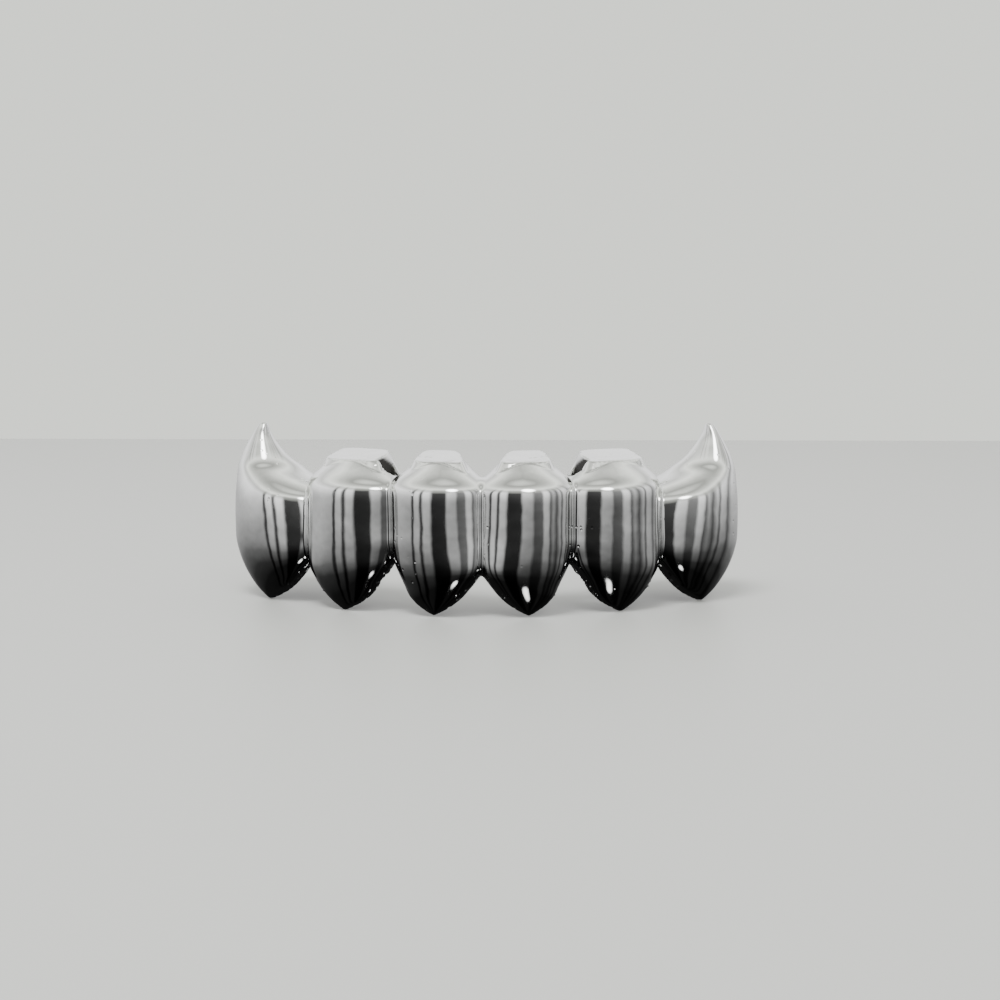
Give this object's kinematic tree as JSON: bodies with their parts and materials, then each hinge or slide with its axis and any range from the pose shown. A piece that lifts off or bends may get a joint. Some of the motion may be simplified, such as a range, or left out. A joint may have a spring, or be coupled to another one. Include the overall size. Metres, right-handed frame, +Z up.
{
  "type": "lower fang tooth grill",
  "caption": "Curved row of hollow plated metal tooth caps in one piece, with an upright pointed fang at each end; it slips over the lower front teeth.",
  "frame": {"origin": "on the floor, under the middle of the bounding box, with the caps' gum-side tips standing on the floor", "axes": "+X to the right seen from the front, -Y out of the front of the teeth, +Z up towards the fang points"},
  "size_m": [0.037, 0.0148, 0.0127],
  "materials": {
    "plated_metal": "mirror polished silver plating with faint pits, fine scratches and slightly uneven casting"
  },
  "bodies": {
    "root": {"fang_grill": "plated_metal"}
  },
  "joints": []
}
